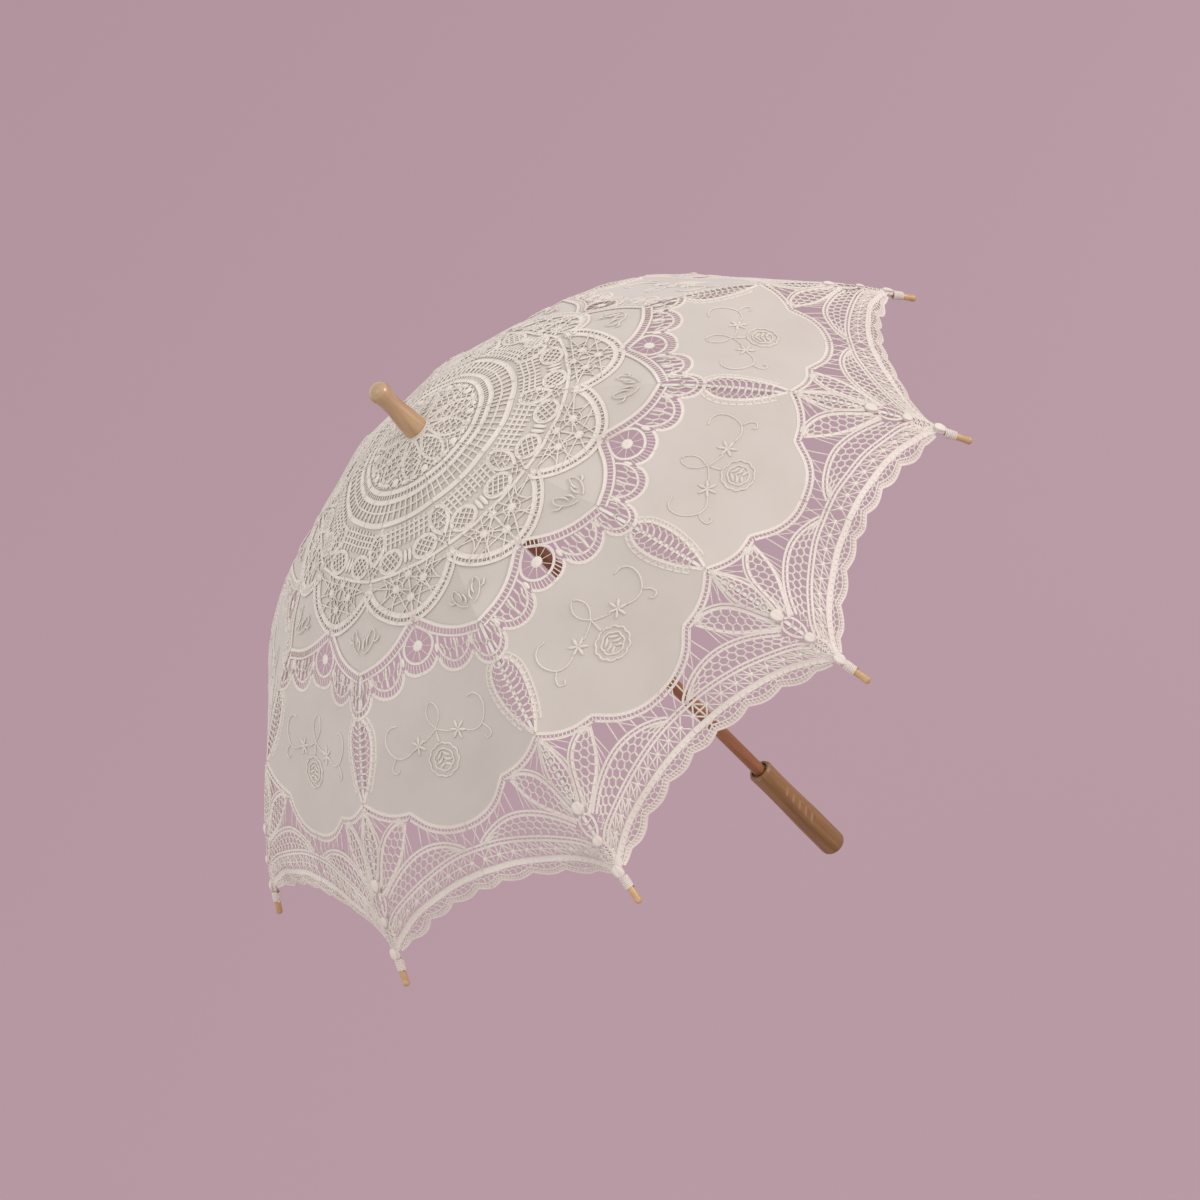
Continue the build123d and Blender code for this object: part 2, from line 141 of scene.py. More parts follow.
def ring(radius):
    """Arc round the apex, from the gore's middle to its rib."""
    y = np.linspace(0, float(rib_at(radius * 0.975)), max(4, int(radius / 9)))
    return np.stack([y, radius - y**2 / (2 * radius)], 1)


def inside(points, polygon):
    """Which points lie inside a closed polygon."""
    x, y = points.T
    found = np.zeros(len(points), bool)
    for (x0, y0), (x1, y1) in zip(polygon, np.roll(polygon, -1, 0)):
        crosses = (y0 > y) != (y1 > y)
        at = x0 + (y - y0) * (x1 - x0) / (y1 - y0 + 1e-12)
        found ^= crosses & (x < at)
    return found


def nearest_on(points, polygon, reach):
    """The points, moved to the polygon's outline where that is within reach."""
    ends = np.roll(polygon, -1, 0)
    way = ends - polygon
    share = ((points[:, None] - polygon) * way).sum(-1) / ((way**2).sum(-1) + 1e-12)
    spots = polygon + np.clip(share, 0, 1)[..., None] * way
    far = np.linalg.norm(points[:, None] - spots, axis=-1)
    best = far.argmin(1)
    rows = np.arange(len(points))
    near = far[rows, best] < reach
    return np.where(near[:, None], spots[rows, best], points)


# ---- pieces of lace, collected as quads ---------------------------------------------------------
class Work:
    """Quads of one kind of lace in the flat pattern."""

    def __init__(self):
        self.points = []
        self.quads = []
        self.smooth = []
        self.count = 0

    def add(self, points, quads, flat=0):
        """Adds quads, of which the last so many are shaded flat."""
        self.points.append(np.asarray(points, float))
        self.quads.append(np.asarray(quads, int) + self.count)
        self.smooth.append(np.arange(len(quads)) < len(quads) - flat)
        self.count += len(points)

    def arrays(self):
        """All points, all quads, and which quads are shaded smooth."""
        return np.vstack(self.points), np.vstack(self.quads), np.concatenate(self.smooth)

    def sweep(self, line, section, lift=0.0, scale=None):
        """Bar with a closed section of (across, up) points along a line."""
        line = np.asarray(line, float)
        section = np.asarray(section, float)
        n, m = len(line), len(section)
        size = np.ones(n) if scale is None else np.asarray(scale, float)
        across = sides(line)[:, None, :] * section[None, :, :1] * size[:, None, None]
        flat = line[:, None, :] + across
        up = lift + section[None, :, 1:] * np.minimum(size, 1)[:, None, None]
        points = np.concatenate([flat, up], 2).reshape(-1, 3)
        i, j = np.meshgrid(np.arange(n - 1), np.arange(m), indexing="ij")
        k = (j + 1) % m
        quads = np.stack([i * m + j, i * m + k, (i + 1) * m + k, (i + 1) * m + j], -1).reshape(-1, 4)
        caps = [[0, 1, 2, 3]] if m == 4 else [[0, 1, 2, 3], [0, 3, 4, 7], [4, 5, 6, 7]]
        caps = np.array(caps)
        self.add(points, np.vstack([quads, caps[:, ::-1], caps + (n - 1) * m]), flat=2 * len(caps))

    def thread(self, line, radius=THREAD, lift=0.0, scale=None):
        """Square-sectioned thread, shaded round."""
        section = [(-radius, 0), (0, -radius), (radius, 0), (0, radius)]
        self.sweep(line, section, lift, scale)

    def tape(self, line, width, lift=0.0, thick=TAPE):
        """Woven tape with a raised cord along each edge."""
        w = width / 2
        e = min(0.5, width * 0.2)
        section = [(-w, 0), (-w + 0.3 * e, -thick), (w - 0.3 * e, -thick), (w, 0)]
        section += [(w - 0.5 * e, thick), (w - 1.7 * e, 0.4 * thick)]
        section += [(-w + 1.7 * e, 0.4 * thick), (-w + 0.5 * e, thick)]
        self.sweep(line, section, lift)

    def blob(self, centre, across, along, lift=0.0, up=0.8):
        """Flattened knot or woven spot."""
        rows = []
        turns = np.linspace(0, 2 * math.pi, 12, endpoint=False)
        for tilt in np.radians([-80, -40, 0, 40, 80]):
            r = math.cos(tilt)
            y = centre[0] + across * r * np.cos(turns)
            s = centre[1] + along * r * np.sin(turns)
            rows.append(np.stack([y, s, np.full(12, lift + up * math.sin(tilt))], 1))
        i, j = np.meshgrid(np.arange(4), np.arange(12), indexing="ij")
        k = (j + 1) % 12
        quads = np.stack([i * 12 + j, i * 12 + k, (i + 1) * 12 + k, (i + 1) * 12 + j], -1).reshape(-1, 4)
        caps = [[0, 11 - j, 10 - j, 9 - j] for j in (0, 2, 4, 6, 8)]
        caps += [[48, 49 + j, 50 + j, 51 + j] for j in (0, 2, 4, 6, 8)]
        self.add(np.vstack(rows), np.vstack([quads, np.array(caps)]))

    def bars(self, a, b, pitch, radius=THREAD, swell=0.0, slip=0.0):
        """Bars from one curve to another, swollen in the middle where they are needle-woven."""
        count = max(2, round(length_of(a) / pitch))
        first, last = resample(a, 60), resample(b, 60)
        for n in range(count):
            t = (n + 0.5) / count * 59
            p = np.array([np.interp(t, range(60), first[:, i]) for i in (0, 1)])
            q = np.array([np.interp(min(59, t + slip * 59 / count), range(60), last[:, i]) for i in (0, 1)])
            steps = np.linspace(0, 1, 5)[:, None]
            size = 1 + swell * np.sin(np.pi * steps[:, 0])
            self.thread(p + (q - p) * steps, radius, 0, size)

    def zigzag(self, a, b, pitch, radius=THREAD, swell=0.0):
        """One thread that goes to and fro between two curves."""
        self.bars(a, b, pitch, radius, swell, slip=0.5)
        self.bars(a, b, pitch, radius, swell, slip=-0.5)

    def comb(self, a, b, rows, pitch, radius=THREAD):
        """Net of six-sided cells in rows between two curves."""
        count = 2 * max(3, round(length_of(a) / pitch))
        first, last = resample(a, count + 1), resample(b, count + 1)
        sway = 0.2 / rows

        def at(j, share):
            return first[j] * (1 - share) + last[j] * share

        for row in range(1, rows):
            line = [at(j, row / rows + sway * (-1) ** (j + row)) for j in range(count + 1)]
            self.thread(np.array(line), radius)
        for row in range(rows):
            start = row / rows + (sway if row else 0)
            end = (row + 1) / rows - (sway if row + 1 < rows else 0)
            for j in range(1, count):
                if (j + row) % 2 == 0:
                    self.thread(np.array([at(j, start), at(j, end)]), radius)

    def net(self, polygon, pitch, turn, radius):
        """Crossed threads that fill a polygon."""
        polygon = np.asarray(polygon, float)
        middle = polygon.mean(0)
        reach = np.linalg.norm(polygon - middle, axis=1).max()
        for angle in (math.radians(turn), math.radians(turn + 90)):
            way = np.array([math.cos(angle), math.sin(angle)])
            side = np.array([-way[1], way[0]])
            for n in range(-int(reach / pitch), int(reach / pitch) + 1):
                t = np.arange(-reach, reach, 0.7)
                line = middle + side * n * pitch + way * t[:, None]
                self.runs(line, inside(line, polygon), radius)

    def runs(self, line, keep, radius):
        """Thread along the stretches of a line that are kept."""
        edges = np.flatnonzero(np.diff(np.r_[0, keep.astype(int), 0]))
        for start, end in edges.reshape(-1, 2):
            if end - start > 2:
                stretch = line[start:end]
                self.thread(resample(stretch, max(2, int((end - start) / 4))), radius)

    def spider(self, centre, disc, legs, polygon, radius=THREAD, turn=0.0, half=False):
        """Woven disc with legs out to the edge of a polygon."""
        self.blob(centre, disc, disc, up=0.7)
        polygon = np.asarray(polygon, float)
        for n in range(legs):
            angle = math.radians(turn) + 2 * math.pi * n / legs
            t = np.arange(disc * 0.6, 40, 0.5)
            line = np.asarray(centre) + t[:, None] * [math.cos(angle), math.sin(angle)]
            keep = inside(line, polygon)
            stop = np.argmin(keep) if not keep.all() else len(t)
            if stop > 2 and not (half and math.cos(angle) < -0.01):
                self.thread(resample(line[:stop], 3), radius)

    def cloth(self, polygon, lift=0.0):
        """Thin plain cloth over a polygon, with both faces and a rim that follows the polygon."""
        polygon = np.asarray(polygon, float)
        low, high = polygon.min(0), polygon.max(0)
        wide = float(rib_at(high[1]))
        u = np.linspace(0, 1, max(8, int(wide / CELL)) + 1)
        s = np.linspace(low[1], high[1], max(1, math.ceil((high[1] - low[1]) / CELL)) + 1)
        shape = (len(u), len(s))
        grid = np.stack([u[:, None] * rib_at(s)[None, :], np.broadcast_to(s, shape)], -1)
        centres = (grid[1:, 1:] + grid[:-1, 1:] + grid[1:, :-1] + grid[:-1, :-1]) / 4
        keep = inside(centres.reshape(-1, 2), polygon).reshape(len(u) - 1, len(s) - 1)
        number = np.arange(grid[..., 0].size).reshape(shape)
        i, j = np.nonzero(keep)
        top = np.stack([number[i, j], number[i + 1, j], number[i + 1, j + 1], number[i, j + 1]], 1)
        flat = grid.reshape(-1, 2)
        total = len(flat)
        padded = np.pad(keep, 1)
        rim = []
        for di, dj, a, b in ((-1, 0, 3, 0), (1, 0, 1, 2), (0, -1, 0, 1), (0, 1, 2, 3)):
            open_side = ~padded[i + 1 + di, j + 1 + dj]
            p, q = top[open_side, a], top[open_side, b]
            rim.append(np.stack([q, p, p + total, q + total], 1))
        rim = np.vstack(rim)
        edge = np.unique(rim[:, :2])
        edge = edge[(flat[edge, 0] > 0.01) & (flat[edge, 0] < rib_at(flat[edge, 1]) - 0.01)]
        flat[edge] = nearest_on(flat[edge], polygon, 1.5 * CELL)
        faces = np.vstack([top, top[:, ::-1] + total])
        heights = np.r_[np.full(total, lift + CLOTH), np.full(total, lift - CLOTH)]
        points = np.c_[np.vstack([flat, flat]), heights]
        for quads, flat_count in ((faces, 0), (rim, len(rim))):
            used, back = np.unique(quads, return_inverse=True)
            self.add(points[used], back.reshape(-1, 4), flat_count)


# ---- the pattern of half a gore -------------------------------------------------------------------
def hem_lines():
    """Upper hem cord, lower hem tape, scalloped edge and the cord inside it, from the middle to the rib."""
    upper = smooth([(0, 384), (20, 385), (40, 388.5), (60, 394), (80, 402), (95, 409.5)] + by_rib((5, 418)))
    tail = by_rib((4, 433), (0.5, CORNER - 3))
    lower = smooth([(0, 401.5), (30, 403.5), (58, 409), (80, 416), (97, 425)] + tail)
    lower = resample(lower, 90)
    at = np.r_[0, np.cumsum(np.linalg.norm(np.diff(lower, axis=0), axis=1))]
    shrink = np.interp(at, [0, 95, at[-1]], [1, 0.9, 0.12])
    swell = 4.4 * np.abs(np.cos(np.pi * at / 30 + 0.25))
    return upper, lower, offset(lower, (9.0 + swell) * shrink), offset(lower, (5.2 + swell) * shrink)


def hem(tapes, threads):
    upper, lower, edge, rim = hem_lines()
    tapes.tape(upper, 2.1)
    tapes.tape(offset(upper, -3.2), 1.9)
    threads.bars(upper, offset(upper, -3.2), 4.4, 0.4)
    tapes.tape(lower, 5.2, thick=0.65)
    tapes.tape(edge[:-4], 4.0, lift=-0.2)
    threads.thread(rim, 0.8)
    threads.comb(lower[:-8], rim[:-8], 2, 5.2, 0.8)
    threads.bars(rim[:-6], edge[:-6], 2.8, 0.75)
    return upper, lower


def hem_filling(threads, upper, lower):
    """Needle lace between the two hem tapes: star knots with legs to both sides."""
    above, below = offset(upper, 0.8), offset(lower, -2.2)
    count = 9
    top, low = resample(above, 2 * count + 1), resample(below, 2 * count + 1)
    middle = (top + low) / 2
    for n in range(1, 2 * count, 2):
        gap = np.linalg.norm(top[n] - low[n])
        threads.blob(middle[n], min(2.3, gap * 0.24), min(1.9, gap * 0.2), up=0.8)
        for other in (top[n - 1], top[n], top[n + 1], low[n - 1], low[n], low[n + 1]):
            threads.thread([middle[n], (middle[n] + other) / 2, other], 0.72)
    for n in range(2, 2 * count, 2):
        threads.thread([top[n], middle[n], low[n]], 0.72)
        threads.thread([middle[n - 1], middle[n], middle[n + 1]], 0.72)


def panel_edge():
    """Lower edge of the large panel: a bowl, a cusp and a shoulder up to the rib."""
    bowl = [(0, 361.5), (13, 360.3), (25, 356.5), (35, 350.3), (43, 342), (47.5, 337.2)]
    shoulder = [(53, 336.6), (62, 334.8), (72, 330.5), (80, 325)] + by_rib((0.5, 317.5))
    return np.vstack([smooth(bowl), smooth(shoulder)])


def crescent_line():
    """Upper edge of the crescent that stands on the hem."""
    rise = [(9, 382.5), (16, 377.5), (28, 372.5), (42, 370.5)]
    fall = [(56, 372.2), (70, 377.6), (83, 385.5), (95, 395)]
    return smooth(rise + fall)


def outer_band(tapes, threads, upper):
    """From the large panel down to the hem: bars, crescents and the fan of petals at the rib."""
    edge = panel_edge()
    second = offset(edge, 4.6)
    tapes.tape(edge, 2.8)
    tapes.tape(second, 2.3)
    threads.bars(edge, second, 3.2, 0.5)
    crescent = crescent_line()
    tapes.tape(crescent, 2.2)
    tapes.tape(offset(crescent, -3.2), 2.0)
    threads.bars(crescent, offset(crescent, -3.2), 4.4, 0.4)
    chord = upper[(upper[:, 0] > 9) & (upper[:, 0] < 95)]
    threads.comb(crescent, offset(chord, -4.0), 3, 7.4, 0.92)
    bowl = second[second[:, 0] < 47]
    far = np.vstack([[(0, 380.5), (9, 379.5)], offset(crescent, -4.2)[4:22]])
    far = far[far[:, 0] < 49]
    threads.bars(bowl, far, 9.0, 0.6, slip=0.35)
    threads.bars(bowl, far, 15.0, 0.5, slip=-0.6)
    # the fan: a side petal from the cusp and a middle petal on the rib, both to the knot
    above = [(54, 342.5), (63, 341.5), (73, 345.5), (81, 352.5)]
    outer = smooth(above + by_rib((11, 364), (8, 376), (4.5, 385)))
    below = [(54, 342.5), (58.5, 351), (65, 361.5), (74, 371.5), (85, 380.5)]
    inner = smooth(below + by_rib((9, 388), (4.5, 391)))
    for side in (outer, inner):
        tapes.tape(side, 2.8)
    tapes.tape(offset(outer, -3.1)[2:-3], 1.7)
    threads.comb(outer[1:-1], inner[1:-1], 3, 7.2, 0.92)
    middle = smooth(by_rib((0.4, 320), (3.5, 331), (7, 344), (8.6, 356), (6.5, 367), (2.5, 379)))
    tapes.tape(middle, 2.5)
    tapes.tape(by_rib((3.4, 326), (6.4, 335), (10.4, 346), (12, 356)), 1.7)
    spine = smooth(by_rib((0, 322), (0, 350), (0, 378)))
    threads.comb(middle[1:-1], spine[1:-1], 2, 6.6, 0.92)
    threads.bars(offset(second, 1.0)[-16:], offset(outer, -4.0)[:16], 7.0, 0.42, slip=0.5)
    threads.bars(offset(middle, 1.2)[4:-6], offset(outer, -4.0)[10:-2], 7.0, 0.5)
    threads.bars(offset(inner, 1.2)[3:-3], offset(crescent, -4.2)[-24:], 6.0, 0.5, slip=0.5)
    # knots, the oval cell and the tapes to the tip
    tapes.blob(by_rib((APART, 382))[0], 4.8, 6.2, up=1.1)
    oval = smooth(by_rib((1.0, 387), (5.4, 392), (6.2, 398), (4.8, 404), (1.0, 409)))
    tapes.tape(oval, 2.0)
    threads.thread(by_rib((5.5, 394), (2.5, 395), (0, 396.5)), 0.5)
    threads.thread(by_rib((5.5, 401), (2.5, 401.5), (0, 400.5)), 0.5)
    tapes.blob(by_rib((APART, 411))[0], 4.2, 4.8, up=1.0)
    legs = smooth(by_rib((3.0, 413), (5.2, 420), (5.0, 428), (2.4, CORNER - 2)))
    tapes.tape(legs, 2.6)
    threads.zigzag(legs[1:-1], smooth(by_rib((APART, 414), (APART, 425), (APART, 434))), 5.0, 0.6)
    cheek = np.vstack([by_rib((4.5, 387), (7.5, 393), (8, 400), (6, 407), (5, 412)), upper[-4:][::-1]])
    threads.net(np.vstack([cheek, [(92, 404), (94, 398)]]), 4.6, 30, 0.55)
    tapes.blob(by_rib((APART, CORNER - 3))[0], 4.2, 6.0, up=1.5)


def lens_edge():
    """Side of the leaf on the rib, from its upper end to its lower one."""
    upper = by_rib((0.8, 249), (7, 254.5), (12, 263.5), (13.6, 275))
    return smooth(upper + by_rib((12.4, 288), (8.4, 302), (1.2, 316.5)))


def lens(tapes, threads):
    """Half of the openwork leaf on the rib between two large panels."""
    edge = lens_edge()
    inner = offset(edge, 4.4)[3:-5]
    tapes.tape(edge, 2.8)
    tapes.tape(inner, 1.8)
    threads.bars(offset(edge, 1.2)[3:-5], offset(inner, -0.8), 3.2, 0.45)
    spine = smooth(by_rib((APART, 256), (APART, 280), (APART, 306)))
    threads.comb(inner, spine, 2, 6.6, 0.95)


def small_edge():
    """Lower edge of the small panel, up to the rib."""
    rise = [(0.3, 187.5), (6, 190.5), (13, 196), (21.5, 202.3), (32, 208), (45, 212.3)]
    return smooth(rise + by_rib((0, 214.6)))


def middle_scallops():
    """Upper edge of the large panel: half a scallop, a whole one and half a one on the rib."""
    first = smooth([(0, 236.6), (8, 235.6), (14, 232), (17.3, 227.5)])
    whole = [(18.6, 229.5), (20.5, 236), (26, 242), (34, 244.6), (43, 243.2), (50, 238.6), (53, 234.5)]
    second = smooth(whole)
    third = smooth([(54, 236.5), (56.5, 243), (61.5, 248.4)] + by_rib((5, 250.6), (0, 250.8)))
    return [first, second, third]


def middle_band(tapes, threads):
    """Cells between the small panels and the large ones."""
    top = small_edge()
    second = offset(top, 7.0)[2:]
    tapes.tape(top, 3.2)
    tapes.tape(second, 2.1)
    threads.bars(offset(top, 1.4)[2:], offset(second, -0.8), 3.4, 0.5)
    scallops = middle_scallops()
    for line in scallops:
        tapes.tape(line, 3.0)
    drop = [(0, 194.5), (6.2, 199.5), (12, 205), (15.2, 212), (13.4, 219.5), (7.6, 225.2), (0, 227.6)]
    flower = smooth(drop)
    tapes.tape(flower, 2.4)
    both_sides = np.vstack([flower, flower[::-1] * [-1, 1]])
    threads.spider((APART, 212.5), 5.0, 10, both_sides, 0.3, turn=18, half=True)
    threads.bars(offset(flower, -1.2)[-9:], offset(scallops[0], 1.2)[::-1], 3.0, 0.45)
    crown = [(22.6, 228.5), (29, 235.2), (36, 237.4), (44, 235), (50, 228.5)]
    cell = smooth([(20.5, 211), (19.6, 219)] + crown + [(51.5, 219)])
    tapes.tape(cell, 2.0)
    threads.bars(offset(cell, -1.0)[5:-5], offset(scallops[1], 1.2)[2:-2], 3.2, 0.45)
    foot = smooth([(21.5, 213), (30, 217), (41, 220.5), (51, 221.5)])
    arch = smooth(crown)
    threads.comb(foot, arch, 2, 6.8, 1.0)
    stem = smooth([(36, 219), (37, 226), (36.2, 236)])
    threads.thread(stem, 1.3, 0.1)
    last = smooth([(54.6, 220.5), (54.4, 229), (57.6, 237.5), (62.6, 242.8)] + by_rib((4, 244.8), (0, 245)))
    tapes.tape(last, 2.0)
    threads.bars(offset(last, -1.0)[4:], offset(scallops[2], 1.2), 3.2, 0.45)
    threads.comb(smooth(by_rib((12, 223.5), (6, 223), (0, 222.5))), last[3:], 2, 7.4, 1.0)
    for y, s in ((17.8, 221), (53, 226.5)):
        tapes.blob((y, s), 1.9, 4.4, up=0.7)


def scallop_line():
    """Edge of the centre lace: half a scallop, from near the rib to its far point in the gore's middle."""
    line = [(42.3, 143.5), (41.6, 150), (37.6, 160), (29.5, 170.5), (18.5, 178.7), (8.5, 182.8), (0, 184)]
    return smooth(line)


def centre_lace(tapes, threads):
    """The round of lace on the lining: flower, rings, woven squares, petals and one big scallop."""
    petal = smooth([(0.6, 14), (4.6, 22), (8.8, 33), (8.6, 43), (4.8, 52), (0, 58.5)])
    tapes.tape(petal, 3.0)
    half = np.vstack([petal, [(0, 58), (0, 14)]])
    threads.net(half, 4.8, 45, 0.8)
    tapes.tape(ring(12.8), 2.6)
    between_petals = np.vstack([petal[::-1][:-4], by_rib((0, 30), (0, 60)), ring(60)[::-1]])
    threads.net(between_petals, 5.2, 20, 0.75)
    threads.blob(by_rib((APART, 52))[0], 3.6, 4.8)
    threads.blob((5.5, 56.5), 2.8, 2.4)
    for radius, width in ((64.0, 5.0), (73.0, 5.0), (82.9, 2.0), (94.2, 5.4)):
        tapes.tape(ring(radius), width)
    threads.bars(ring(66.0), ring(71.0), 3.6, 0.6)
    threads.bars(ring(75.0), ring(92), 5.2, 1.0)
    for s in (103.2, 108.4, 113.6):
        tapes.tape(smooth([(0, s), (24.5, s - 1.5)]), 1.9, thick=0.45)
    for y in (2.6, 7.8, 13.0, 18.2, 23.4):
        tapes.tape(smooth([(y, 98.5), (y, 119)]), 1.9, thick=0.45)
    leaf = smooth(by_rib((0.5, 98.5), (6.2, 103), (8.8, 111), (7.4, 120), (0.5, 127)))
    tapes.tape(leaf, 3.6)
    threads.net(np.vstack([leaf, by_rib((0, 127), (0, 98.5))]), 4.6, 10, 0.75)
    turns = np.linspace(0, 2 * math.pi, 25)
    round_petal = np.stack([18.4 + 11.6 * np.cos(turns), 130 + 9.6 * np.sin(turns)], 1)
    tapes.tape(round_petal, 3.6)
    threads.net(round_petal, 4.6, 35, 0.8)
    tapes.blob((2.5, 131), 2.2, 7.0, up=0.6)
    outer = scallop_line()
    tapes.tape(outer, 4.8)
    inner = offset(outer, -6.6)[2:]
    tapes.tape(inner, 3.4)
    threads.bars(offset(outer, -2.0)[2:], offset(inner, 1.3), 3.6, 0.65)
    close = smooth([(0, 142.5), (14, 142.8), (28, 141), (41, 138.6)])
    tapes.tape(close, 3.2)
    corner = np.vstack([by_rib((0, 128), (0, 139)), [(37, 139), (32, 134), (31, 127)]])
    threads.net(corner, 4.2, 45, 0.75)
    room = np.vstack([close, inner])
    mirror = room[::-1] * [-1, 1]
    whole = np.vstack([room, mirror])
    threads.spider((14.6, 157), 4.3, 8, room, 0.85, turn=22)
    threads.spider((APART, 169.5), 4.1, 8, whole, 0.85, turn=0, half=True)
    threads.spider((APART, 148.5), 3.9, 8, whole, 0.85, turn=0, half=True)
    circle = np.stack([14.6 + 7.4 * np.cos(turns), 157 + 7.4 * np.sin(turns)], 1)
    threads.thread(circle, 0.6)
    threads.thread(smooth([(27, 143), (24, 152), (27, 160), (31, 164)]), 0.75)


def stroke(stitches, points, width, leaf=False):
    """One embroidered line, or a leaf that swells in the middle."""
    line = smooth(points, 1.5)
    size = 0.35 + 0.9 * np.sin(np.linspace(0.1, math.pi - 0.1, len(line))) if leaf else None
    stitches.thread(line, 1.05 * width, RAISED, size)


def embroidery(stitches):
    """Half of the rose with its stars and tendrils on the large panel, and the sprig on the small one."""
    turns = np.radians(np.linspace(-90, 90, 46))
    for size, bumps, depth in ((14.6, 11, 1.3), (9.6, 7, 1.0)):
        r = size - depth * (1 - np.abs(np.sin(bumps * turns / 2)))
        stitches.thread(np.stack([r * np.cos(turns), 308 + 0.9 * r * np.sin(turns)], 1), 0.9, RAISED)
    for points in (
        [(0, 301), (3, 304), (7, 306.5)],
        [(0, 306), (3.5, 308.5), (8, 309.5)],
        [(0, 311), (3, 312), (6, 314)],
    ):
        stroke(stitches, points, 1.0, leaf=True)
    loop = [(APART, 294), (0.4, 288), (0.2, 282), (4.5, 276), (6, 269), (3.4, 262.5), (0.6, 260.6)]
    stroke(stitches, loop, 0.6)
    stroke(stitches, [(0.4, 283), (7, 286.5), (14, 289.5)], 0.65)
    for angle in range(20, 380, 60):
        a = math.radians(angle)
        tip = (20.5 + 8.2 * math.cos(a), 290.5 + 8.2 * math.sin(a))
        stroke(stitches, [(20.5, 290.5), tip], 1.1, leaf=True)
    tendril = [(28, 293.5), (36, 295.6), (44, 293.4), (49, 286.5)]
    tendril += [(50.6, 278.5), (48.4, 271.5), (43, 267.6), (36.5, 268)]
    stroke(stitches, tendril, 0.7)
    stroke(stitches, [(45, 293.6), (49.5, 298), (50.6, 303), (46.6, 305.2), (44.4, 302.6)], 0.65)
    stroke(stitches, by_rib((3, 199), (8, 197.5), (12.5, 192.5), (14, 186), (11, 181.5), (8, 184)), 0.55)
    for start, bend, end in (
        ((3, 196), (2.2, 191), (4.5, 186)),
        ((6.5, 193), (6.0, 188), (8.5, 184)),
        ((12.5, 192), (16.5, 192), (19, 189)),
    ):
        stroke(stitches, by_rib(start, bend, end), 0.75, leaf=True)


def panels(lining, cloth):
    """The lining under the centre lace, the small panel beyond it and the large panel."""
    scallop = scallop_line()
    crossing = int(np.argmax(scallop[:, 1] > 150))
    border = np.vstack([by_rib((0, 149)), scallop[crossing:]])
    down = by_rib(*[(0, s) for s in np.arange(146, 12, -4.0)])
    lining.cloth(np.vstack([[(0, 11.8)], border[::-1], down]), LINING)
    rib_line = by_rib(*[(0, s) for s in np.arange(212, 150, -4.0)])
    cloth.cloth(np.vstack([border[::-1], small_edge(), rib_line]), LINING)
    crown = np.vstack(middle_scallops())
    cloth.cloth(np.vstack([[(0, 236)], crown[:-3], lens_edge(), panel_edge()[::-1], [(0, 361)]]), -0.1)


def half_gore():
    """Every kind of work in half a gore, each as flat points and quads."""
    tapes, threads, lining, cloth, stitches = Work(), Work(), Work(), Work(), Work()
    upper, lower = hem(tapes, threads)
    hem_filling(threads, upper, lower)
    outer_band(tapes, threads, upper)
    lens(tapes, threads)
    middle_band(tapes, threads)
    centre_lace(tapes, threads)
    embroidery(stitches)
    panels(lining, cloth)
    return {"tapes": tapes, "threads": threads, "lining": lining, "cloth": cloth, "stitches": stitches}


# ---- laying the pattern on the canopy ------------------------------------------------------------
def unevenness():
    """Smooth small shifts of handmade lace, as waves through the whole canopy."""
    rng = np.random.default_rng(11)
    waves = []
    for _ in range(9):
        way = rng.normal(size=3)
        way *= 2 * math.pi / rng.uniform(28, 95) / np.linalg.norm(way)
        push = rng.normal(size=3)
        push *= rng.uniform(0.12, 0.3) / np.linalg.norm(push)
        waves.append((way, rng.uniform(0, 6.28), push))
    return waves


WAVES = unevenness()


def on_canopy(flat, gore, side):
    """Places of flat pattern points, in metres.

    Gore n lies after rib n, both counted from 0, and side -1 is its half next to that rib.
    """
    y, s, h = flat.T
    slope = APEX_SLOPE + s / ARC
    across = np.clip(np.abs(y) / (rib_at(s) + 1e-6), 0, 1)
    off_rib = 1 - across**2
    sag = -SAG * off_rib * np.clip((s - 150) / 120, 0, 1) * np.clip((400 - s) / 60, 0, 1)
    curl = -CURL * np.clip(s - CURL_START, 0, None) ** 2 * off_rib
    lift = MID_SURFACE + h + sag + curl
    up = np.stack([np.sin(slope), NARROWING * np.cos(slope)], 1)
    up /= np.linalg.norm(up, axis=1)[:, None]
    out = NARROWING * (ARC_X + ARC * np.sin(slope)) + up[:, 0] * lift
    z = ARC_Z + ARC * np.cos(slope) + up[:, 1] * lift
    turn = (gore + 0.5) * STEP
    east = out * math.cos(turn) - side * y * math.sin(turn)
    north = out * math.sin(turn) + side * y * math.cos(turn)
    placed = np.stack([east, north, z], 1)
    calm = np.clip((s - 14) / 40, 0, 1) * np.clip((CORNER - s) / 20, 0, 1)
    shift = sum(np.sin(placed @ way + phase)[:, None] * push for way, phase, push in WAVES)
    return (placed + shift * calm[:, None]) / 1000


def mesh_object(name, points, quads, smooth_faces, material):
    """Mesh of quads with one material."""
    mesh = bpy.data.meshes.new(name)
    mesh.vertices.add(len(points))
    mesh.vertices.foreach_set("co", points.astype(np.float32).ravel())
    mesh.loops.add(quads.size)
    mesh.loops.foreach_set("vertex_index", quads.astype(np.int32).ravel())
    mesh.polygons.add(len(quads))
    mesh.polygons.foreach_set("loop_start", np.arange(0, quads.size, 4, dtype=np.int32))
    mesh.update(calc_edges=True)
    mesh.polygons.foreach_set("use_smooth", smooth_faces)
    mesh.validate()
    mesh.materials.append(material)
    piece = bpy.data.objects.new(name, mesh)
    bpy.context.scene.collection.objects.link(piece)
    return piece


